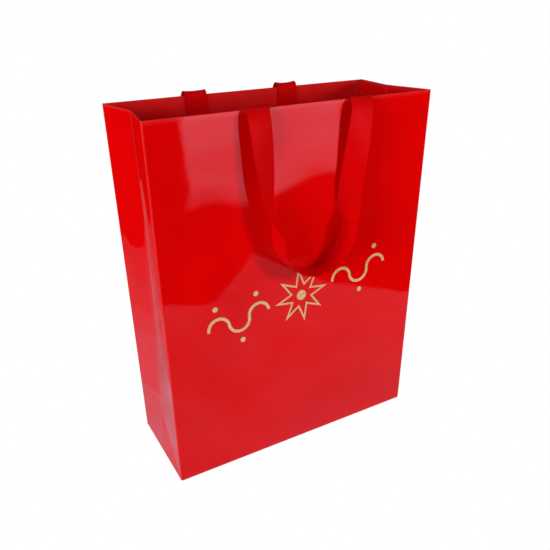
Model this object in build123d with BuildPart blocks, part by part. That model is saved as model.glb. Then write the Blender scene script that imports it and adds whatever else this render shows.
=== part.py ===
"""Gift bag: laminated paper carrier with side gussets and two satin ribbon handles.

Millimetres. +Z is up, the printed front faces -Y, and the origin is the centre of the base.
"""

import os

from build123d import *

os.makedirs("parts", exist_ok=True)

# Bag
width = 320.0
depth = 120.0
height = 400.0
paper = 0.4
base_board = 1.5
board_corner = 2.0
hem_board = 1.0
hem_depth = 45.0

# Ribbon and foil
ribbon_width = 25.0
ribbon = 0.6
tail_length = 52.0
foil = 0.1

# Inset of the gusset's centre crease at each height, and the open room beside that crease
crease_heights = (0.0, depth / 2, 200.0, height)
crease_insets = (4.5, 4.5, 12.0, 10.5)
room_heights = (0.0, 180.0, 280.0, 340.0, height)
crease_room = (0.5, 0.8, 2.3, 4.6, 7.7)

# Clearances
panel_lift = 0.7  # walls above the resting face
corner_room = 1.5  # gusset's edge from a wall's outer face
lining_room = 3.2  # the same for the paper turned in at the mouth
foot_room = 0.5  # each side of the 45 degree creases
hem_end = 7.0  # hem strips stop short of the folding gussets
flap_margin = 1.6
board_margin = 3.0
glue_film = 0.05
rim_room = 0.1
board_drop = 10.0  # hem strips start this far below the rim

# Glued seam flap inside the back wall
seam_start = 4.0
seam_width = 18.0
seam_low = 5.0
seam_length = 345.0

# Handle legs: middles at the mouth and at the round bottom, and the height of that turn
front_leg_tops = (-51.0, 66.5)
front_leg_ends = (-35.0, 53.0)
back_leg_tops = (-60.0, 52.5)
back_leg_ends = (-44.0, 39.0)
turn_height = 272.0
loop_top = height + 0.8
# Down each leg: share of its fall, twist in degrees, and the ribbon's middle from the wall
leg_stations = (
    (0.0, 0.0, 1.6),
    (0.07, 0.0, 9.0),
    (0.3, 14.0, 10.0),
    (0.65, 45.0, 10.5),
    (1.0, 90.0, 13.0),
)

half_width = width / 2
half_depth = depth / 2
hem_low = height - hem_depth
hem_reach = half_width - hem_end


def at(level, heights, amounts):
    """Value at a level, in a straight line between the amounts at the nearest heights."""
    for low, high, first, last in zip(heights, heights[1:], amounts, amounts[1:]):
        if level <= high:
            return first + (last - first) * (level - low) / (high - low)
    return amounts[-1]


def save(piece, name):
    """Label a finished piece and write it as a STEP file."""
    piece.part.label = name
    export_step(piece.part, f"parts/{name}.step")


# Walls
for name, face in (("front_panel", -1), ("back_panel", 1)):
    with BuildPart() as panel:
        with Locations((0, face * (half_depth - paper / 2), panel_lift)):
            Box(width, paper, height - panel_lift, align=(Align.CENTER, Align.CENTER, Align.MIN))
    save(panel, name)

for name, face in (("front_hem_board", -1), ("back_hem_board", 1)):
    with BuildPart() as board:
        strip = hem_depth - paper - board_drop
        with Locations((0, face * (half_depth - paper - hem_board / 2), hem_low + paper)):
            Box(2 * hem_reach, hem_board, strip, align=(Align.CENTER, Align.CENTER, Align.MIN))
    save(board, name)

hem_outer = half_depth - paper
hem_inner = half_depth - paper - hem_board - paper
for name, face in (("front_hem_turn_in", -1), ("back_hem_turn_in", 1)):
    with BuildPart() as turn_in:
        with BuildSketch(Plane.YZ.offset(-hem_reach)):
            with BuildLine():
                Polyline(
                    (face * hem_outer, height),
                    (face * hem_inner, height),
                    (face * hem_inner, hem_low),
                    (face * (hem_inner + paper), hem_low),
                    (face * (hem_inner + paper), height - paper),
                    (face * hem_outer, height - paper),
                    close=True,
                )
            make_face()
        extrude(amount=2 * hem_reach)
    save(turn_in, name)

with BuildPart() as side_seam_flap:
    with Locations((seam_start - half_width, half_depth - paper, seam_low)):
        Box(seam_width, paper, seam_length, align=(Align.MIN, Align.MAX, Align.MIN))
save(side_seam_flap, "side_seam_flap")


# Side gussets
def gusset_layer(side, face, low, high, lining):
    """Half of a side gusset, from its wall's upright crease to the centre crease.

    side is -1 on the left and 1 on the right, face is -1 at the front and 1 at the back, and
    lining is how far the layer's outer face lies inside the bag's outer face.
    """
    levels = sorted({z for z in (low, high, *crease_heights, *room_heights) if low <= z <= high})
    edge_room = lining_room if lining else corner_room
    near = half_depth - edge_room
    with BuildPart() as layer:
        for z in levels:
            inset = at(z, crease_heights, crease_insets)
            far = at(z, room_heights, crease_room)
            near_x = half_width - lining - inset * edge_room / half_depth
            far_x = half_width - lining - inset * (half_depth - far) / half_depth
            with BuildSketch(Plane.XY.offset(z)):
                with BuildLine():
                    Polyline(
                        (side * near_x, face * near),
                        (side * far_x, face * far),
                        (side * (far_x - paper), face * far),
                        (side * (near_x - paper), face * near),
                        close=True,
                    )
                make_face()
        loft(ruled=True)
        if low < half_depth:
            crease = half_depth + 2 * foot_room
            with BuildSketch(Plane.YZ.offset(side * half_width)):
                with BuildLine():
                    Polyline(
                        (face * crease, 0),
                        (-face * depth, crease + depth),
                        (-face * depth, 0),
                        close=True,
                    )
                make_face()
            extrude(amount=half_depth, both=True, mode=Mode.SUBTRACT)
            with Locations((side * half_width, 0, 0)):
                Box(depth, 2 * depth, 2 * (panel_lift + foot_room), mode=Mode.SUBTRACT)
    return layer


for side_name, side in (("left", -1), ("right", 1)):
    for face_name, face in (("front", -1), ("back", 1)):
        gusset = gusset_layer(side, face, 0.0, height, 0.0)
        save(gusset, f"{side_name}_{face_name}_gusset")
        gusset_hem = gusset_layer(side, face, hem_low, height, paper + glue_film)
        save(gusset_hem, f"{side_name}_{face_name}_gusset_turn_in")

foot_inset = crease_insets[1]
foot_rise = (half_depth**2 + foot_inset**2) ** 0.5
foot_bottom = panel_lift + foot_room
foot_reach = half_depth - foot_bottom - 2 * foot_room
for side_name, side in (("left", -1), ("right", 1)):
    leaning = Plane(
        origin=(side * half_width, 0, 0),
        x_dir=(0, -side, 0),
        z_dir=(-side * half_depth, 0, -foot_inset),
    )
    with BuildPart() as foot_triangle:
        with BuildSketch(leaning):
            with BuildLine():
                Polyline(
                    (-foot_reach, foot_bottom),
                    (foot_reach, foot_bottom),
                    (0, foot_rise - 2 * foot_room),
                    close=True,
                )
            make_face()
        extrude(amount=paper)
    save(foot_triangle, f"{side_name}_foot_triangle")

# Base
flap_overlap = 15.0
flap_taper = 14.0
side_flap_length = 75.0
step_room = 1.0

with BuildPart() as front_base_flap:
    with BuildSketch():
        with BuildLine():
            Polyline(
                (-half_width + flap_margin, -half_depth),
                (half_width - flap_margin, -half_depth),
                (half_width - flap_taper, flap_overlap),
                (-half_width + flap_taper, flap_overlap),
                close=True,
            )
        make_face()
    extrude(amount=paper)
save(front_base_flap, "front_base_flap")

with BuildPart() as back_base_flap:
    step = flap_overlap + step_room
    with BuildSketch(Plane.YZ.offset(-half_width + flap_margin)):
        with BuildLine():
            Polyline(
                (half_depth, 0),
                (half_depth, paper),
                (step + paper, paper),
                (step + paper, 2 * paper),
                (-flap_overlap, 2 * paper),
                (-flap_overlap, paper),
                (step, paper),
                (step, 0),
                close=True,
            )
        make_face()
    extrude(amount=2 * (half_width - flap_margin))
save(back_base_flap, "back_base_flap")

for name, side in (("left_base_flap", -1), ("right_base_flap", 1)):
    with BuildPart() as side_flap:
        root = side * (half_width - flap_margin)
        tip = side * (half_width - side_flap_length)
        reach = half_depth - flap_margin
        with BuildSketch(Plane.XY.offset(2 * paper)):
            with BuildLine():
                Polyline(
                    (root, -reach),
                    (root, reach),
                    (tip, reach - flap_taper),
                    (tip, flap_taper - reach),
                    close=True,
                )
            make_face()
        extrude(amount=paper)
    save(side_flap, name)

with BuildPart() as stiffener:
    with BuildSketch(Plane.XY.offset(3 * paper)):
        RectangleRounded(width - 2 * board_margin, depth - 2 * board_margin, board_corner)
    extrude(amount=base_board)
save(stiffener, "base_board")


# Ribbons
def handle_loop(face, leg_tops, leg_ends):
    """Ribbon loop that hangs outside a wall: two legs that twist edge-on, and a round bottom."""
    middle = (leg_ends[0] + leg_ends[1]) / 2
    radius = (leg_ends[1] - leg_ends[0]) / 2
    fall = loop_top - turn_height
    bend_standoff = leg_stations[-1][2]
    with BuildPart() as loop:
        for leg_top, leg_end, turn in zip(leg_tops, leg_ends, (-face, face)):
            for share, degrees, standoff in leg_stations:
                with BuildSketch(Plane.XY.offset(loop_top - fall * share)):
                    with Locations((leg_top + (leg_end - leg_top) * share, face * (half_depth + standoff))):
                        Rectangle(ribbon_width, ribbon, rotation=turn * degrees)
            loft(ruled=True)
        with BuildSketch(Plane.XZ.offset(-face * (half_depth + bend_standoff))):
            with Locations((middle, turn_height)):
                Circle(radius + ribbon / 2)
                Circle(radius - ribbon / 2, mode=Mode.SUBTRACT)
            with Locations((middle, turn_height + radius)):
                Rectangle(4 * radius, 2 * radius, mode=Mode.SUBTRACT)
        extrude(amount=ribbon_width / 2, both=True)
    return loop


save(handle_loop(-1, front_leg_tops, front_leg_ends), "front_ribbon_handle")
save(handle_loop(1, back_leg_tops, back_leg_ends), "back_ribbon_handle")

rim_low = height + rim_room
for face_name, face, leg_tops in (("front", -1, front_leg_tops), ("back", 1, back_leg_tops)):
    for side_name, leg_top in zip(("left", "right"), leg_tops):
        with BuildPart() as tail:
            with BuildSketch(Plane.YZ.offset(leg_top - ribbon_width / 2)):
                with BuildLine():
                    Polyline(
                        (face * half_depth, rim_low),
                        (face * half_depth, rim_low + ribbon),
                        (face * (hem_inner - ribbon), rim_low + ribbon),
                        (face * (hem_inner - ribbon), height - tail_length),
                        (face * hem_inner, height - tail_length),
                        (face * hem_inner, rim_low),
                        close=True,
                    )
                make_face()
            extrude(amount=ribbon_width)
        save(tail, f"{face_name}_{side_name}_ribbon_tail")

# Foil ornament
ornament_height = 198.0
ornament_tilt = 8.0
star_points = 8
star_outer = 34.0
star_inner = 15.0
star_line = 0.78  # inner outline as a share of the outer one
wave_radius = 12.0
wave_start = 54.0
stroke = 3.4
dot_radius = 3.0
dot_offset = 24.0


def star_outline(share):
    """Corners of the star, alternately on its outer and inner circles."""
    radii = (star_outer * share, star_inner * share)
    step = 180 / star_points
    return [tuple(Vector(radii[i % 2], 0).rotate(Axis.Z, 90 + i * step))[:2] for i in range(2 * star_points)]


ornament_plane = Plane(
    origin=(0, -half_depth, ornament_height),
    x_dir=Vector(1, 0, 0).rotate(Axis.Y, -ornament_tilt),
    z_dir=(0, -1, 0),
)
with BuildPart() as foil_ornament:
    with BuildSketch(ornament_plane):
        Polygon(*star_outline(1.0), align=None)
        Polygon(*star_outline(star_line), align=None, mode=Mode.SUBTRACT)
        Circle(2 * dot_radius)
        for side in (-1, 1):
            for wave in range(3):
                centre = side * (wave_start + 2 * wave_radius * wave)
                below = wave % 2
                with BuildLine():
                    outer = CenterArc((centre, 0), wave_radius + stroke / 2, 180 * below, 180)
                    inner = CenterArc((centre, 0), wave_radius - stroke / 2, 180 * below, 180)
                    Line(outer @ 0, inner @ 0)
                    Line(outer @ 1, inner @ 1)
                make_face()
                with Locations((centre, -dot_offset if below else dot_offset)):
                    Circle(dot_radius)
    extrude(amount=foil)
save(foil_ornament, "foil_ornament")
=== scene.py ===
import bpy
from math import cos, exp, hypot, pi, radians, sin
from mathutils import Matrix, Vector


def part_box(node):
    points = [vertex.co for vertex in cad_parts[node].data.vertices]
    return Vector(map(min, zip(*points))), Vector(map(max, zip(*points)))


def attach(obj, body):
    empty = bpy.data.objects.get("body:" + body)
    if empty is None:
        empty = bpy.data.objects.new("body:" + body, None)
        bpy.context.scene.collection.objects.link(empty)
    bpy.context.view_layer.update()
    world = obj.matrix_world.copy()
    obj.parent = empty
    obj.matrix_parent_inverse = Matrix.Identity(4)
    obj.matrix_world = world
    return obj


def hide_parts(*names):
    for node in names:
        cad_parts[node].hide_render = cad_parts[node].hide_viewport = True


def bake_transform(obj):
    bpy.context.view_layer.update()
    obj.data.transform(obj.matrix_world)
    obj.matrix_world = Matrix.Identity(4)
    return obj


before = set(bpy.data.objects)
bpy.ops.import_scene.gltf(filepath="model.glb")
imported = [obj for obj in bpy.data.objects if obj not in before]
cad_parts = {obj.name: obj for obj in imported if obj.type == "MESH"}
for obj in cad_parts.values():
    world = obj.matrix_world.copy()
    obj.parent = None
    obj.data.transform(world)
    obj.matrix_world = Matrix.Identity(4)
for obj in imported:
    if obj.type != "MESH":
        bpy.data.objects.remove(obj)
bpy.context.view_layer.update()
print("frame loaded:", len(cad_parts), "nodes")

mm = 0.001

frontLow, frontHigh = (Vector(corner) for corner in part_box("front_panel"))
backHigh = Vector(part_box("back_panel")[1])
bag = {
    "halfWidth": frontHigh.x,
    "halfDepth": backHigh.y,
    "top": frontHigh.z,
    "paper": frontHigh.y - frontLow.y,
    "hemLow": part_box("front_hem_turn_in")[0][2],
    "hemInner": backHigh.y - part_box("back_hem_turn_in")[0][1],  # outer face to inner face at the mouth
}


cameraSet = {
    "azimuth": -28.15, "elevation": 27.74, "roll": -1.36,
    "place": (-0.3104, -0.5464, 0.4846), "lens": 38.0, "shift": (0.0243, 0.061),
}


def addCamera(values):
    data = bpy.data.cameras.new("camera")
    data.lens = values["lens"]
    data.shift_x, data.shift_y = values["shift"]
    data.clip_start = 0.01
    camera = bpy.data.objects.new("camera", data)
    bpy.context.collection.objects.link(camera)
    turn = Matrix.Rotation(radians(values["azimuth"]), 4, "Z")
    tip = Matrix.Rotation(radians(90 - values["elevation"]), 4, "X")
    roll = Matrix.Rotation(radians(values["roll"]), 4, "Z")
    camera.matrix_world = Matrix.Translation(values["place"]) @ turn @ tip @ roll
    bpy.context.scene.camera = camera


def deselectAll():
    if bpy.context.object and bpy.context.object.mode != "OBJECT":
        bpy.ops.object.mode_set(mode="OBJECT")
    bpy.ops.object.select_all(action="DESELECT")


class Wire:  # one socket of a node tree, so that shader maths reads as ordinary sums
    def __init__(self, tree, socket=None):
        self.tree = tree
        self.socket = socket

    def node(self, kind, settings=None, links=None, out=0):
        made = self.tree.nodes.new(kind)
        for name, value in (settings or {}).items():
            if name == "stops":
                ramp = made.color_ramp
                while len(ramp.elements) < len(value):
                    ramp.elements.new(0.5)
                for element, (place, shade) in zip(ramp.elements, value):
                    element.position = place
                    element.color = shade
            else:
                setattr(made, name, value)
        for name, value in (links or {}).items():
            if isinstance(value, Wire):
                self.tree.links.new(value.socket, made.inputs[name])
            else:
                made.inputs[name].default_value = value
        return Wire(self.tree, made.outputs[out]) if made.outputs else Wire(self.tree)

    def maths(self, operation, *values):
        return self.node("ShaderNodeMath", {"operation": operation}, dict(enumerate(values)))

    def __add__(self, other):
        return self.maths("ADD", self, other)

    __radd__ = __add__

    def __mul__(self, other):
        return self.maths("MULTIPLY", self, other)

    __rmul__ = __mul__

    def __sub__(self, other):
        return self.maths("SUBTRACT", self, other)

    def __rsub__(self, other):
        return self.maths("SUBTRACT", other, self)

    def over(self, low, high):  # 0 below low, 1 above high
        return self.node("ShaderNodeMapRange", {}, {"Value": self, "From Min": low, "From Max": high})

    def mix(self, first, second):  # colours, by this factor
        return self.node("ShaderNodeMix", {"data_type": "RGBA"}, {0: self, 6: first, 7: second}, out=2)


lightSet = {
    "ambient": 0.22, "backdrop": 1.0, "pale": (0.97, 0.92, 1.14, 1),  # tint of what gloss picks up
    "room": (0.004, 0.004, 0.004),  # what gloss sees above the table
    "table": 0.45,
    "outline": (
        (0.234, -0.64), (0.27, -0.53), (0.30, -0.39), (0.38, -0.31), (0.9, -0.1), (0.9, 1.2), (-0.50, 1.2),
        (-0.58, 0.56), (-0.60, -0.3), (-0.14, -0.47), (-0.02, -0.488), (0.03, -0.468), (0.06, -0.472),
        (0.12, -0.53),
    ),
    "window": ((0.25, -0.052), (0.77, 0.03), (0.77, 0.62), (0.25, 0.62)),  # corners (x, z)
    "windowY": -1.06, "windowFloor": -0.05, "windowCeiling": 0.3, "windowLow": 0.7, "windowHigh": 2.0,
    "lamps": {  # power, place, width
        "key": (14.5, (-1.25, -0.45, 0.47), 0.7),
        "side": (12.2, (0.75, -1.05, 0.5), 0.3),
        "rear": (10.0, (0.9, 1.3, 0.6), 0.9),
    },
}


def addWorld(values):
    world = bpy.data.worlds.new("studio")
    bpy.context.scene.world = world
    world.use_nodes = True
    world.node_tree.nodes.clear()
    start = Wire(world.node_tree)
    glossy = start.node("ShaderNodeLightPath", out=3)
    seen = start.node("ShaderNodeLightPath", out=0)
    ambient, backdrop = values["ambient"], values["backdrop"]
    sky = seen.mix((ambient, ambient, ambient, 1), (backdrop, backdrop, backdrop, 1))
    shade = glossy.mix(sky, (*values["room"], 1))
    surface = start.node("ShaderNodeBackground", {}, {"Color": shade})
    start.node("ShaderNodeOutputWorld", {}, {"Surface": surface})


def newMaterial(name):
    material = bpy.data.materials.new(name)
    material.use_nodes = True
    material.node_tree.nodes.clear()
    return material, Wire(material.node_tree)


def noise(start, place, scale, detail):
    return start.node("ShaderNodeTexNoise", {}, {"Vector": place, "Scale": scale, "Detail": detail})


def flatPanel(name, corners):  # one face through corners given in the XY plane
    deselectAll()
    bpy.ops.mesh.primitive_circle_add(vertices=len(corners), radius=1, fill_type="NGON")
    panel = bpy.context.object
    panel.name = name
    for vertex, (x, y) in zip(panel.data.vertices, corners):
        vertex.co = (x, y, 0)
    return panel


def addStage(values):
    table = flatPanel("table", values["outline"])
    table.location = (0, 0, -0.0003)
    bpy.ops.object.transform_apply(location=True)
    material, start = newMaterial("tableWhite")
    place = start.node("ShaderNodeTexCoord", out=3)
    grain = noise(start, place, 7.0, 3.0)
    across = start.node("ShaderNodeSeparateXYZ", {}, {"Vector": place}, out=0)
    bright = (grain.over(0.3, 0.7) * 0.55 + 0.62) * (across.over(-0.55, -0.1) * 0.65 + 0.35)
    shade = bright.mix((0, 0, 0, 1), values["pale"])
    seen = start.node("ShaderNodeLightPath", out=0)
    lit = start.node("ShaderNodeEmission", {}, {"Color": shade, "Strength": values["table"]})
    backdrop = start.node("ShaderNodeEmission", {}, {"Color": (1, 1, 1, 1), "Strength": values["backdrop"]})
    both = start.node("ShaderNodeMixShader", {}, {0: seen, 1: lit, 2: backdrop})
    start.node("ShaderNodeOutputMaterial", {}, {"Surface": both})
    table.data.materials.append(material)


def addWindow(values):
    window = flatPanel("window", values["window"])
    window.location = (0, values["windowY"], 0)
    window.rotation_euler = (radians(90), 0, 0)
    bpy.ops.object.transform_apply(location=True, rotation=True)
    material, start = newMaterial("windowLight")
    place = start.node("ShaderNodeTexCoord", out=3)
    height = start.node("ShaderNodeSeparateXYZ", {}, {"Vector": place}, out=2)
    flat = start.node("ShaderNodeVectorMath", {"operation": "MULTIPLY"}, {0: place, 1: (2.5, 1.0, 14.0)})
    cloud = start.node("ShaderNodeTexNoise", {}, {"Vector": flat, "Scale": 1.0, "Detail": 2.0})
    rise = height.over(values["windowFloor"], values["windowCeiling"]) + (cloud - 0.5) * 1.1
    strength = rise * (values["windowHigh"] - values["windowLow"]) + values["windowLow"]
    glow = start.node("ShaderNodeEmission", {}, {"Color": values["pale"], "Strength": strength})
    start.node("ShaderNodeOutputMaterial", {}, {"Surface": glow})
    window.data.materials.append(material)
    window.visible_camera = False


def addLamp(name, power, place, width):
    data = bpy.data.lights.new(name, "AREA")
    data.size = width
    data.energy = power
    lamp = bpy.data.objects.new(name, data)
    lamp.location = place
    lamp.rotation_euler = (Vector((0, 0, 0.2)) - lamp.location).to_track_quat("-Z", "Y").to_euler()
    lamp.visible_glossy = False
    lamp.visible_camera = False
    bpy.context.collection.objects.link(lamp)


addCamera(cameraSet)
addWorld(lightSet)
addStage(lightSet)
addWindow(lightSet)
for name, lamp in lightSet["lamps"].items():
    addLamp(name, *lamp)
bpy.context.scene.view_settings.view_transform = "Standard"
print("camera, table and lights placed")


def relief(start, height, strength, distance):
    return start.node("ShaderNodeBump", {}, {"Height": height, "Strength": strength, "Distance": distance})


def dress(start, sockets):  # the skin shader and the material's output
    skin = start.node("ShaderNodeBsdfPrincipled", {}, sockets)
    start.node("ShaderNodeOutputMaterial", {}, {"Surface": skin})


filmSet = {"red": (0.80, 0.0004, 0.0006), "deep": (0.72, 0.0002, 0.0006), "rough": (0.03, 0.06), "ior": 1.42}


def filmPaper():  # red art paper under clear film
    material, start = newMaterial("laminatedRed")
    place = start.node("ShaderNodeTexCoord", out=3)
    cloud = noise(start, place, 9.0, 2.0)
    smear = noise(start, place, 55.0, 3.0)
    peel = noise(start, place, 620.0, 1.0)
    wear = start.node("ShaderNodeAttribute", {"attribute_name": "wear"}, out=2)
    tint = cloud.over(0.35, 0.7).mix((*filmSet["red"], 1), (*filmSet["deep"], 1))
    # pale pink on the edges, rim and creases: partly rubbed film, partly a painted highlight where the folds
    # catch the light
    wornAndHighlit = (wear * (smear * 0.3 + 0.1)).mix(tint, (0.95, 0.16, 0.16, 1))
    low, high = filmSet["rough"]
    rough = smear.over(0.4, 0.7) * (high - low) + low + wear * 0.06
    bump = relief(start, smear * 0.8 + peel * 0.35, 0.05, 0.0006)
    dress(start, {
        "Base Color": wornAndHighlit, "Roughness": rough, "IOR": filmSet["ior"], "Normal": bump,
    })
    return material


def barePaper():  # the uncoated side, inside the bag
    material, start = newMaterial("bareRed")
    place = start.node("ShaderNodeTexCoord", out=3)
    fibre = noise(start, place, 420.0, 4.0)
    cloud = noise(start, place, 14.0, 2.0)
    tint = (fibre * 0.6 + cloud * 0.4).mix((0.38, 0.0004, 0.0008, 1), (0.50, 0.0012, 0.0016, 1))
    rough = fibre * 0.18 + 0.5
    bump = relief(start, fibre, 0.12, 0.0003)
    dress(start, {
        "Base Color": tint, "Roughness": rough, "IOR": 1.25, "Normal": bump,
    })
    return material


ribbonSet = {
    "width": 25 * mm, "thick": 0.5 * mm, "cup": 0.5 * mm,
    "red": (0.74, 0.0004, 0.0010), "shade": (0.56, 0.0, 0.001), "weft": 0.45 * mm, "selvedge": 1.1 * mm,
    "gloss": (1.0, 0.07, 0.09, 1),
}


def satin(length):  # woven satin: fine lines across, a firmer edge, a soft broad gloss
    material, start = newMaterial("satinRed")
    spot = start.node("ShaderNodeUVMap", {"uv_map": "ribbon"})
    across = start.node("ShaderNodeSeparateXYZ", {}, {"Vector": spot}, out=0)
    along = start.node("ShaderNodeSeparateXYZ", {}, {"Vector": spot}, out=1)
    edge = start.maths("ABSOLUTE", across - 0.5) * ribbonSet["width"] * 2
    half = ribbonSet["width"]
    selvedge = edge.over(half - 2 * ribbonSet["selvedge"], half - 1.6 * ribbonSet["selvedge"])
    weft = start.maths("SINE", along * (2 * pi * length / ribbonSet["weft"]))
    warp = start.maths("SINE", across * (2 * pi * ribbonSet["width"] / (0.6 * ribbonSet["weft"])))
    place = start.node("ShaderNodeTexCoord", out=3)
    slub = noise(start, place, 300.0, 3.0)
    tint = (slub * 0.5 + selvedge * 0.35).mix((*ribbonSet["red"], 1), (*ribbonSet["shade"], 1))
    rough = slub * 0.12 + 0.27 + selvedge * 0.12
    height = weft * 0.35 + warp * 0.25 + slub * 0.4 + selvedge * 1.2
    bump = relief(start, height, 0.14, 0.0002)
    dress(start, {
        "Base Color": tint, "Roughness": rough, "IOR": 1.6, "Normal": bump,
        "Specular Tint": ribbonSet["gloss"],
    })
    return material


def foilGold():
    material, start = newMaterial("foilGold")
    place = start.node("ShaderNodeTexCoord", out=3)
    cloud = noise(start, place, 30.0, 2.0)
    grain = noise(start, place, 900.0, 2.0)
    tint = cloud.over(0.3, 0.7).mix((1.0, 0.74, 0.36, 1), (0.92, 0.60, 0.27, 1))
    rough = grain * 0.16 + 0.2
    bump = relief(start, grain, 0.12, 0.0002)
    dress(start, {
        "Base Color": tint, "Roughness": rough, "Metallic": 0.4, "Normal": bump,
    })
    return material


def greyBoard():
    material, start = newMaterial("greyBoard")
    place = start.node("ShaderNodeTexCoord", out=3)
    fibre = noise(start, place, 260.0, 5.0)
    fleck = noise(start, place, 900.0, 1.0)
    tint = fibre.mix((0.30, 0.28, 0.25, 1), (0.46, 0.43, 0.39, 1))
    marked = (fleck.over(0.66, 0.74) * 0.5).mix(tint, (0.16, 0.14, 0.12, 1))
    rough = fibre * 0.15 + 0.75
    bump = relief(start, fibre, 0.35, 0.0004)
    dress(start, {"Base Color": marked, "Roughness": rough, "Normal": bump})
    return material


laminated = filmPaper()
bare = barePaper()
foil = foilGold()
board = greyBoard()
print("finishes mixed")


paperSet = {
    "corner": 1.1 * mm, "foot": 1.0 * mm, "step": 4 * mm,
    "ripple": 0.34 * mm, "calm": 45 * mm,  # height of the slow waves, and how far they stay off the edges
    "rim": 0.55 * mm, "hemSlack": 0.2 * mm, "bulgeFall": 8 * mm,
    "foldHeight": 0.06, "foldDent": 0.3 * mm, "foldReach": 1.2 * mm,  # the fold line above the base
    "pinch": 0.35 * mm,  # how far the two bottom corners are nipped in
}


def ease(value):
    value = min(max(value, 0.0), 1.0)
    return value * value * (3 - 2 * value)


def spaced(low, high, step):
    count = max(1, round((high - low) / step))
    return [low + (high - low) * i / count for i in range(count + 1)]


def ripple(x, z, phase):  # slow waves of a hung sheet, flat beside its creases
    calm = paperSet["calm"]
    hold = ease((bag["halfWidth"] - abs(x)) / calm) * ease(z / calm)
    hold *= 0.35 + 0.65 * ease((bag["top"] - z) / calm)
    wave = sin(x / 0.031 + z / 0.083 + phase) + 0.8 * sin(x / 0.057 - z / 0.041 + 2.1 * phase)
    wave += 0.5 * sin(x / 0.019 + 1.7 * phase) * sin(z / 0.027 + phase)
    return paperSet["ripple"] * wave * hold


def sheetFrom(name, across, along, place, materials, thick, inner=1, mirrored=False):
    deselectAll()
    bpy.ops.mesh.primitive_grid_add(x_subdivisions=across, y_subdivisions=along, size=1)
    sheet = bpy.context.object
    sheet.name = sheet.data.name = name
    for vertex in sheet.data.vertices:
        column = round((vertex.co.x + 0.5) * across)
        vertex.co = place(across - column if mirrored else column, round((vertex.co.y + 0.5) * along))
    for material in materials:
        sheet.data.materials.append(material)
    bpy.ops.object.mode_set(mode="EDIT")
    bpy.ops.mesh.select_all(action="SELECT")
    bpy.ops.mesh.remove_doubles(threshold=1e-6)
    bpy.ops.object.mode_set(mode="OBJECT")
    wall = sheet.modifiers.new("paper", "SOLIDIFY")
    wall.thickness = thick
    wall.offset = -1
    wall.material_offset = inner
    bpy.ops.object.modifier_apply(modifier="paper")
    bpy.ops.object.shade_smooth_by_angle(angle=radians(48))
    return sheet


def markWearAndHighlight(sheet, rule):  # rubbed film along the folds, plus a painted highlight: edges, rim and creases lightened to pale pink
    layer = sheet.data.attributes.new("wear", "FLOAT", "POINT")
    for vertex in sheet.data.vertices:
        layer.data[vertex.index].value = rule(vertex.co)


def nearEdge(distance, reach=1.0 * mm):
    return exp(-(distance / reach) ** 2)


# Rows up the wall, over the rim and down the turn-in: (out from the middle plane, height, share inside)
def wallProfile():
    foot, rim = paperSet["foot"], paperSet["rim"]
    depth, top = bag["halfDepth"], bag["top"]
    rows = [(depth - foot + foot * sin(a), foot - foot * cos(a), 0) for a in spaced(0, pi / 2, pi / 8)]
    rows += [(depth, z, 0) for z in spaced(foot, top - rim, paperSet["step"])[1:]]
    rows += [(depth - rim + rim * cos(a), top - rim + rim * sin(a), a / pi)
             for a in spaced(0, pi, pi / 8)[1:]]
    rows += [(depth - 2 * rim, z, 1) for z in spaced(top - rim, bag["hemLow"], 2.5 * mm)[1:]]
    return rows


def wallColumns():  # (x, how far the corner turns in)
    corner, half = paperSet["corner"], bag["halfWidth"]
    right = [(half - corner + corner * sin(a), corner * (1 - cos(a))) for a in spaced(0, pi / 2, pi / 8)[1:]]
    edge = half - corner - 1.2 * mm
    flat = [(x, 0.0) for x in (corner - half, *spaced(-edge, edge, paperSet["step"]), half - corner)]
    return [(-x, turned) for x, turned in reversed(right)] + flat + right


def wallOut(x, z, phase):  # how far the paper stands out from the flat; the lined mouth is stiffer
    stiff = 0.3 + 0.7 * ease((bag["hemLow"] + 5 * mm - z) / (30 * mm))
    pinch = exp(-((abs(x) - bag["halfWidth"] + 7 * mm) / (5 * mm)) ** 2 - ((z - 4 * mm) / (3 * mm)) ** 2)
    return ripple(x, z, phase) * stiff - paperSet["pinch"] * pinch


def addWall(name, face, phase, foldLine):
    columns, rows = wallColumns(), wallProfile()
    top, half = bag["top"], bag["halfWidth"]
    bulge = bag["hemInner"] - 2 * paperSet["rim"] + paperSet["hemSlack"]

    def place(i, j):
        x, turned = columns[i]
        out, z, inside = rows[j]
        fall = top - z
        if inside == 1:
            settled = 1 - ease((abs(x) - half + 6.5 * mm) / (4.5 * mm))
            loose = 0.06 * mm * (2 + sin(x / 0.017 + phase) + sin(x / 0.0083 + 2 * phase)) * ease(fall / 0.02)
            out -= (bulge * ease((fall + 2 * mm) / paperSet["bulgeFall"]) + loose) * settled
            x *= (half - 1.3 * mm) / half
            turned *= 0.8
        else:
            out += wallOut(-face * x, z, phase) * (1 - inside)
            dent = nearEdge(z - paperSet["foldHeight"], paperSet["foldReach"])
            out -= foldLine * paperSet["foldDent"] * dent
        return Vector((-face * x, face * (out - turned), z))

    wall = sheetFrom(name, len(columns) - 1, len(rows) - 1, place, [laminated, bare], bag["paper"])
    # lighter side edges, rim, base edge and back fold line: rubbed film and a painted highlight
    markWearAndHighlight(wall, lambda co: 0.7 * nearEdge(half - abs(co.x)) + 0.5 * nearEdge(top - co.z)
             + 0.5 * nearEdge(co.z) + foldLine * 0.5 * nearEdge(co.z - paperSet["foldHeight"]))
    return wall


gussetSet = {
    "insets": ((0.0, 4.5 * mm), (0.06, 4.5 * mm), (0.2, 12 * mm), (0.3, 12.2 * mm), (0.4, 10.5 * mm)),
    "rim": 0.42 * mm, "columns": 20, "rows": 150, "lap": 0.02 * mm,
    "foldHeight": (0.080, 0.066), "foldProud": 0.9 * mm, "foldReach": (9 * mm, 2.2 * mm),
    "softTop": 3 * mm, "softLow": 13 * mm,
}


def creaseInset(z):
    points = gussetSet["insets"]
    for (low, first), (high, last) in zip(points, points[1:]):
        if z <= high:
            return first + (last - first) * (z - low) / (high - low)
    return points[-1][1]


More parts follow.
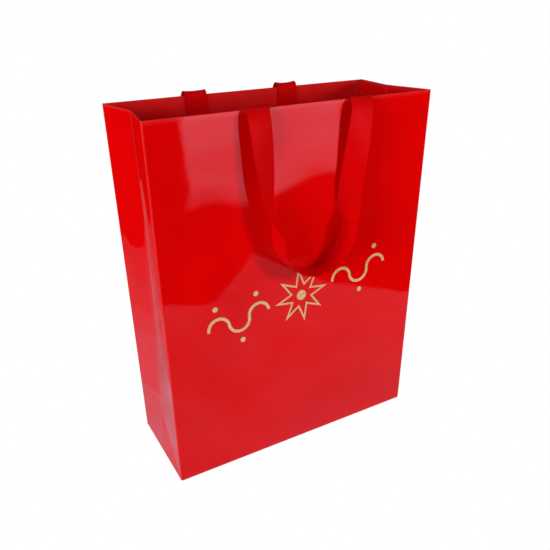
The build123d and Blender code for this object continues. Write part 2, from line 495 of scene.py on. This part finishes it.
def footEdge(z):  # how far the rounded bottom edge falls back
    share = min(z / paperSet["foot"], 1)
    return paperSet["foot"] * (1 - (1 - (1 - share) ** 2) ** 0.5)


def gussetRest(y, z, phase):  # half width of the bag at a place on its side
    depth = bag["halfDepth"]
    soft = gussetSet["softLow"] + (gussetSet["softTop"] - gussetSet["softLow"]) * ease((z - 0.1) / 0.25)
    rounded = (y * y + soft * soft) ** 0.5
    share = (depth - abs(y)) / depth
    creased = (hypot(depth, soft) - rounded) / depth
    out = bag["halfWidth"] - creaseInset(z) * creased
    middle, back = gussetSet["foldHeight"]
    above = z - middle - (back - middle) * y / depth
    reach = gussetSet["foldReach"][above < 0]
    out += gussetSet["foldProud"] * exp(-abs(above) / reach) * ease(share * 4) * ease((y / depth + 0.5) * 2)
    calm = ease(share * 3) * ease((1 - share) * 5) * ease((z - paperSet["foldHeight"]) / 0.08)
    return out + 0.25 * mm * calm * (sin(z / 0.035 + phase) + sin(z / 0.061 - y / 0.02 + 2 * phase))


def gussetOut(y, z, phase):
    return gussetRest(y, z, phase) - footEdge(z)


def addGussetHalf(name, side, face, phase):
    depth, top, rim = bag["halfDepth"], bag["top"], gussetSet["rim"]
    corner = paperSet["corner"]
    count, upright = gussetSet["columns"], gussetSet["rows"]
    over = [(rim * (1 - cos(a)), rim * (sin(a) - 1)) for a in spaced(0, pi, pi / 6)[1:]]
    down = [(2 * rim, -rim - fall) for fall in spaced(0, top - rim - bag["hemLow"], 5 * mm)[1:]]

    def place(i, j):
        y = (depth - corner) * (1 - i / count) - gussetSet["lap"] * (i == count)
        diagonal = max(depth - y, corner)
        if j <= upright:
            share = j / upright
            z = diagonal + (top - rim - diagonal) * share
            return Vector((side * gussetOut(face * y, z, phase), face * y, z))
        inward, drop = (over + down)[j - upright - 1]
        z = top + drop
        slack = 1.2 * mm * (inward > rim) * (i == 0)
        out = gussetOut(face * y, min(z, top - rim), phase) - inward
        return Vector((side * out, face * (y - slack), z))

    rows = upright + len(over) + len(down)
    return sheetFrom(name, count, rows, place, [laminated, bare], bag["paper"], mirrored=side != -face)


def addFoot(name, side, phase):
    depth, corner, half = bag["halfDepth"], paperSet["corner"], bag["halfWidth"]
    count, upright = 48, 18

    def place(i, j):
        y = (depth - corner) * (2 * i / count - 1)
        diagonal = max(depth - abs(y), corner)
        share = (j / upright) ** 1.5
        fallen = (half - gussetRest(y, diagonal, phase)) * share
        return Vector((side * (half - fallen - footEdge(diagonal * share)), y, diagonal * share))

    return sheetFrom(name, count, upright, place, [laminated, bare], bag["paper"], mirrored=side < 0)


def outward(sheet):  # a closed sheet's faces point away from its own paper
    deselectAll()
    sheet.select_set(True)
    bpy.context.view_layer.objects.active = sheet
    bpy.ops.object.mode_set(mode="EDIT")
    bpy.ops.mesh.select_all(action="SELECT")
    bpy.ops.mesh.normals_make_consistent(inside=False)
    bpy.ops.object.mode_set(mode="OBJECT")


faces = {"front": {"face": -1, "phase": 0.6, "foldLine": 0}, "back": {"face": 1, "phase": 2.9, "foldLine": 1}}
for faceName, values in faces.items():
    wall = addWall(faceName + "Wall", values["face"], values["phase"], values["foldLine"])
    outward(wall)
    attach(wall, faceName + "_wall")
    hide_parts(faceName + "_panel", faceName + "_hem_turn_in")
print("walls folded")

for sideName, side in (("left", -1), ("right", 1)):
    phase = 1.0 + side
    for faceName, face in (("front", -1), ("back", 1)):
        stem = f"{sideName}_{faceName}_gusset"
        half = addGussetHalf(f"{sideName}{faceName.title()}Gusset", side, face, phase)
        outward(half)
        edge = bag["halfDepth"]
        # lighter corners, middle crease and rim: rubbed film and a painted highlight
        markWearAndHighlight(half, lambda co: 0.8 * nearEdge(edge - abs(co.y)) + 0.3 * nearEdge(co.y)
                 + 0.5 * nearEdge(bag["top"] - co.z, 1.2 * mm))
        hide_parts(stem, stem + "_turn_in")
        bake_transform(half)
    foot = addFoot(sideName + "Foot", side, phase)
    outward(foot)
    # lighter bottom edge: rubbed film and a painted highlight
    markWearAndHighlight(foot, lambda co: 0.6 * nearEdge(co.z, 1.5 * mm))
    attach(foot, sideName + "_foot")
    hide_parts(sideName + "_foot_triangle")
print("gussets folded")


# Down each leg: sideways drift, distance out from the wall, height and twist in degrees
legs = {
    "left": (
        (0, -2.4, 348, 0), (0, -2.4, 372, 0), (0, -2.4, 392, 0), (-0.1, -1.8, 400.0, 0),
        (-0.3, 0.5, 400.6, 0),
        (-0.9, 3.6, 400.0, 1), (-1.5, 7.2, 395.5, 5), (-0.8, 9.4, 387, 7), (0.6, 10.3, 372, 11.5),
        (2.3, 10.5, 355, 17), (4.4, 10.5, 334.5, 27.5), (7.0, 11.0, 314, 42), (10.7, 12.4, 293.5, 65),
        (13.4, 13.4, 279.5, 87),
    ),
    "right": (
        (0, -2.4, 348, 0), (0, -2.4, 372, 0), (0, -2.4, 392, 0), (-0.1, -1.8, 400.0, 0),
        (-0.5, 0.5, 400.6, 0),
        (-1.3, 3.6, 400.0, 0), (-2.5, 7.2, 395.5, 1.5), (-3.7, 9.4, 387, 3), (-5.6, 10.3, 372, 10),
        (-7.9, 10.5, 355, 18.5), (-11.0, 10.5, 334.5, 28), (-14.6, 11.0, 314, 37), (-15.6, 12.2, 293.5, 57),
        (-15.1, 13.4, 279.5, 84),
    ),
}
turn = {"height": 273.6, "out": 13.6, "left": 14.6, "right": -14.9}  # the round bottom of a loop
loops = {
    "front": {"face": -1, "tops": (-51.0, 66.5), "lift": (0.2, 0.7, 0.0)},
    "back": {"face": 1, "tops": (-60.0, 52.5), "lift": (0.8, 3.2, 3.0)},
}


def loopStations(values):  # (centre, direction across) from one tail round to the other
    leftTop, rightTop = values["tops"]
    leftEnd, rightEnd = leftTop + turn["left"], rightTop + turn["right"]
    radius, middle = (rightEnd - leftEnd) / 2, (rightEnd + leftEnd) / 2
    lift = (0, 0, 0, *values["lift"]) + (0,) * len(legs["left"])
    left, right = (
        [(top + drift, out, z + up, way, twist) for (drift, out, z, twist), up in zip(route, lift)]
        for top, route, way in ((leftTop, legs["left"], 1.0), (rightTop, legs["right"], -1.0)))
    bend = [(middle - radius * cos(a), turn["out"], turn["height"] - radius * sin(a), 1.0, 90.0)
            for a in spaced(0, pi, pi / 10)]
    stations = []
    for x, out, z, way, twist in left + bend + right[::-1]:
        centre = Vector((x * mm, values["face"] * (bag["halfDepth"] + out * mm), z * mm))
        across = Vector((way * cos(radians(twist)), -values["face"] * sin(radians(twist)), 0))
        stations.append((centre, across))
    return stations


def threaded(points, share):  # Catmull-Rom curve through a list of vectors, share from 0 to 1
    spot = share * (len(points) - 1)
    i = min(int(spot), len(points) - 2)
    t = spot - i
    before, first, last, after = (points[min(max(k, 0), len(points) - 1)] for k in (i - 1, i, i + 1, i + 2))
    return 0.5 * (2 * first + (last - before) * t + (2 * before - 5 * first + 4 * last - after) * t * t
                  + (3 * first - before - 3 * last + after) * t ** 3)


def addRibbon(name, values):
    stations = loopStations(values)
    centres, sides = [s[0] for s in stations], [s[1] for s in stations]
    fine = [i / 1200 for i in range(1201)]
    line = [threaded(centres, share) for share in fine]
    run = [0.0]
    for first, last in zip(line, line[1:]):
        run.append(run[-1] + (last - first).length)
    length, rows, count = run[-1], 300, 10
    shares = []
    k = 0
    for j in range(rows + 1):
        while k < len(run) - 2 and run[k + 1] < length * j / rows:
            k += 1
        past = (length * j / rows - run[k]) / (run[k + 1] - run[k])
        shares.append(fine[k] + (fine[k + 1] - fine[k]) * past)

    def place(i, j):
        share = shares[j]
        centre = threaded(centres, share)
        along = threaded(centres, min(share + 0.002, 1)) - threaded(centres, max(share - 0.002, 0))
        across = threaded(sides, share)
        along.normalize()
        across = (across - across.dot(along) * along).normalized()
        up = along.cross(across)
        u = i / count - 0.5
        return centre + across * u * ribbonSet["width"] - up * ribbonSet["cup"] * (4 * u * u - 0.5)

    ribbon = sheetFrom(name, count, rows, place, [satin(length)], ribbonSet["thick"], inner=0)
    ribbon.data.uv_layers[0].name = "ribbon"
    outward(ribbon)
    return ribbon, length


for faceName, values in loops.items():
    ribbon, length = addRibbon(faceName + "Ribbon", values)
    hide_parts(faceName + "_ribbon_handle",
                faceName + "_left_ribbon_tail", faceName + "_right_ribbon_tail")
    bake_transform(ribbon)
    print(faceName, "ribbon", round(length, 4), "m")


foilSet = {
    "height": 198 * mm, "tilt": 8, "points": 8, "outer": 34 * mm, "inner": 15 * mm, "line": 0.78,
    "stroke": 3.4 * mm, "waveStart": 54 * mm, "wave": 12 * mm, "dot": 3 * mm, "dotOff": 24 * mm,
    "thick": 0.06 * mm, "proud": 0.08 * mm,
}


def foilStrip(steps, width, place):  # a ribbon of faces laid along a line
    deselectAll()
    bpy.ops.mesh.primitive_grid_add(x_subdivisions=width, y_subdivisions=steps, size=1)
    strip = bpy.context.object
    for vertex in strip.data.vertices:
        vertex.co = (*place(vertex.co.x + 0.5, (vertex.co.y + 0.5) * steps), 0)
    return strip


def foilStar(values):
    corners, cuts = 2 * values["points"], 4
    radii = (values["outer"], values["inner"])

    def corner(k):
        return Vector((cos(pi / 2 + k * 2 * pi / corners), sin(pi / 2 + k * 2 * pi / corners))) * radii[k % 2]

    def place(side, step):
        k = min(int(step / cuts + 1e-4), corners - 1)
        spot = corner(k).lerp(corner(k + 1), step / cuts - k)
        return spot * (1 + (values["line"] - 1) * side)

    return foilStrip(corners * cuts, 2, place)


def foilDot(x, y, radius):
    deselectAll()
    bpy.ops.mesh.primitive_circle_add(vertices=24, radius=radius, fill_type="NGON", location=(x, y, 0))
    bpy.ops.object.transform_apply(location=True)
    return bpy.context.object


def foilWave(side, values):
    radius, steps = values["wave"], 54

    def place(share, step):
        turn = step / steps * 3 * pi
        lobe = min(int(turn / pi), 2)
        angle = turn - lobe * pi
        up = -1 if lobe % 2 else 1
        reach = radius + (share - 0.5) * values["stroke"] * up
        return side * (values["waveStart"] + 2 * radius * lobe - reach * cos(angle)), up * reach * sin(angle)

    return foilStrip(steps, 2, place)


def addFoil(values):
    pieces = [foilStar(values), foilDot(0, 0, 2 * values["dot"])]
    for side in (-1, 1):
        pieces.append(foilWave(side, values))
        for lobe in range(3):
            middle = side * (values["waveStart"] + 2 * values["wave"] * lobe)
            pieces.append(foilDot(middle, values["dotOff"] * (-1 if lobe % 2 else 1), values["dot"]))
    deselectAll()
    for piece in pieces:
        piece.select_set(True)
    bpy.context.view_layer.objects.active = pieces[0]
    bpy.ops.object.join()
    ornament = bpy.context.object
    ornament.name = ornament.data.name = "foilOrnament"
    tilt = Matrix.Rotation(radians(values["tilt"]), 3, "Z")
    for vertex in ornament.data.vertices:
        flat = tilt @ vertex.co
        x, z = flat.x, flat.y + values["height"]
        vertex.co = (x, -bag["halfDepth"] - wallOut(x, z, faces["front"]["phase"]) - values["proud"], z)
    ornament.data.materials.append(foil)
    bpy.ops.object.mode_set(mode="EDIT")
    bpy.ops.mesh.select_all(action="SELECT")
    bpy.ops.mesh.remove_doubles(threshold=1e-6)
    bpy.ops.mesh.normals_make_consistent(inside=False)
    bpy.ops.object.mode_set(mode="OBJECT")
    leaf = ornament.modifiers.new("leaf", "SOLIDIFY")
    leaf.thickness = values["thick"]
    leaf.offset = 0
    bpy.ops.object.modifier_apply(modifier="leaf")
    outward(ornament)
    return ornament


ornament = addFoil(foilSet)
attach(ornament, "front_wall")
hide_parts("foil_ornament")
print("foil pressed")


keptFinish = {
    "base_board": board, "front_hem_board": board, "back_hem_board": board, "side_seam_flap": bare,
    "front_base_flap": laminated, "back_base_flap": laminated,
    "left_base_flap": bare, "right_base_flap": bare,
}
for node, finish in keptFinish.items():
    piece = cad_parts[node]
    piece.data.materials.clear()
    piece.data.materials.append(finish)

print("done")
